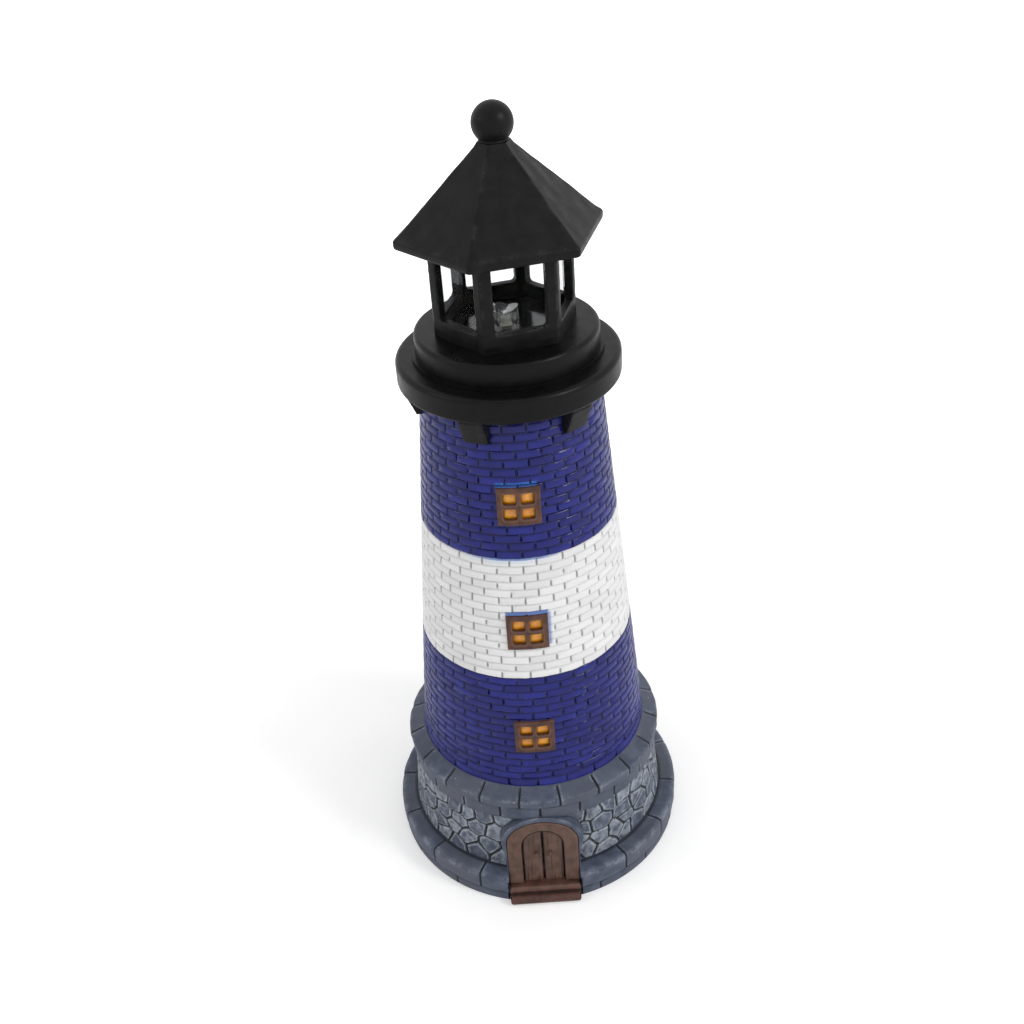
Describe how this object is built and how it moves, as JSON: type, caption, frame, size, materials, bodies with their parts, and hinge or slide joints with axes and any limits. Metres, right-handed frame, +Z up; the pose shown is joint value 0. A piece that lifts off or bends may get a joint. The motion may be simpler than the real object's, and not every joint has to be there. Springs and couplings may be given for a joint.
{
  "type": "garden lighthouse ornament",
  "caption": "Round brick lighthouse ornament on a stone plinth, with a six-sided lantern, a turning beacon and a lift-out battery lamp head.",
  "frame": {"origin": "centre of the ground ring's underside, on the tower's axis", "axes": "+Z up along the tower, the door faces -Y, +X to the right of the door seen from in front"},
  "size_m": [0.1004, 0.1014, 0.2542],
  "materials": {
    "blue_brick_paint": "semi-gloss brick relief, royal blue with a white middle band",
    "coping_stone": "satin blue-grey painted casting",
    "paved_stone": "blue-grey casting, dry-brushed with pale grey",
    "window_frame_paint": "brown paint",
    "amber_pane": "amber",
    "door_paint": "brown wood-grain relief",
    "step_paint": "satin red-brown",
    "knob_paint": "worn red-brown",
    "gallery_plastic": "smooth satin black moulding",
    "black_casting": "matt black painted casting",
    "clear_plastic": "clear",
    "lens_plastic": "clear, faceted",
    "floor_gloss": "glossy black",
    "seal_rubber": "soft",
    "chassis_plastic": "moulded",
    "gear_plastic": "acetal",
    "motor_metal": "plated can",
    "screw_steel": "zinc plated",
    "contact_metal": "nickel plated",
    "board_green": "solder mask",
    "lead_red": "insulation",
    "led_plastic": "clear epoxy",
    "cell_wrap": "plain wrapped cell",
    "switch_plastic": "moulded"
  },
  "bodies": {
    "tower": {"ground_ring": "coping_stone", "plinth_wall": "paved_stone", "coping_ring": "coping_stone", "tower_shell": "blue_brick_paint", "corbels": "black_casting", "window_frame_lower": "window_frame_paint", "window_frame_middle": "window_frame_paint", "window_frame_upper": "window_frame_paint", "window_panes_lower": "amber_pane", "window_panes_middle": "amber_pane", "window_panes_upper": "amber_pane", "door_surround": "door_paint", "door_leaf_left": "door_paint", "door_leaf_right": "door_paint", "door_knobs": "knob_paint", "door_step": "step_paint"},
    "head": {"gallery_housing": "gallery_plastic", "seal_ring": "seal_rubber", "gallery_drum": "gallery_plastic", "lantern_cage": "black_casting", "lantern_glazing": "clear_plastic", "lantern_floor": "floor_gloss", "roof": "black_casting", "finial": "black_casting", "chassis_plate": "chassis_plastic", "chassis_screws": "screw_steel", "gear_motor": "motor_metal", "beacon_led": "led_plastic", "circuit_board": "board_green", "board_screws": "screw_steel", "motor_leads": "lead_red", "supply_leads": "lead_red", "battery_case": "gallery_plastic", "case_screws": "screw_steel", "contact_plates": "contact_metal", "switch_body": "motor_metal"},
    "beacon": {"turntable_gear": "gear_plastic", "beacon_lens": "lens_plastic"},
    "pinion": {"motor_shaft": "motor_metal", "drive_pinion": "gear_plastic"},
    "battery_cover": {"battery_cover": "gallery_plastic", "contact_bridge": "contact_metal"},
    "battery_cells": {"battery_cells": "cell_wrap"},
    "switch_slider": {"switch_slider": "switch_plastic"}
  },
  "joints": [
    {"name": "head_lift", "type": "slide", "parent": "tower", "child": "head", "axis": [0, 0, 1], "range_m": [0, 0.07]},
    {"name": "beacon_spin", "type": "hinge", "parent": "head", "child": "beacon", "pos_m": [0, 0, 0.182], "axis": [0, 0, 1], "continuous": true},
    {"name": "pinion_spin", "type": "hinge", "parent": "head", "child": "pinion", "pos_m": [0.0128, 0, 0.182], "axis": [0, 0, 1], "continuous": true},
    {"name": "battery_cover_off", "type": "slide", "parent": "head", "child": "battery_cover", "axis": [0, 0, -1], "range_m": [0, 0.055]},
    {"name": "cells_out", "type": "slide", "parent": "head", "child": "battery_cells", "axis": [0, 0, -1], "range_m": [0, 0.055]},
    {"name": "switch_slide", "type": "slide", "parent": "head", "child": "switch_slider", "axis": [0, 1, 0], "range_m": [0, 0.002]}
  ],
  "couplings": [
    {"joint": "pinion_spin", "follows": "beacon_spin", "ratio": -3},
    {"joint": "cells_out", "follows": "battery_cover_off", "ratio": 0.9}
  ]
}
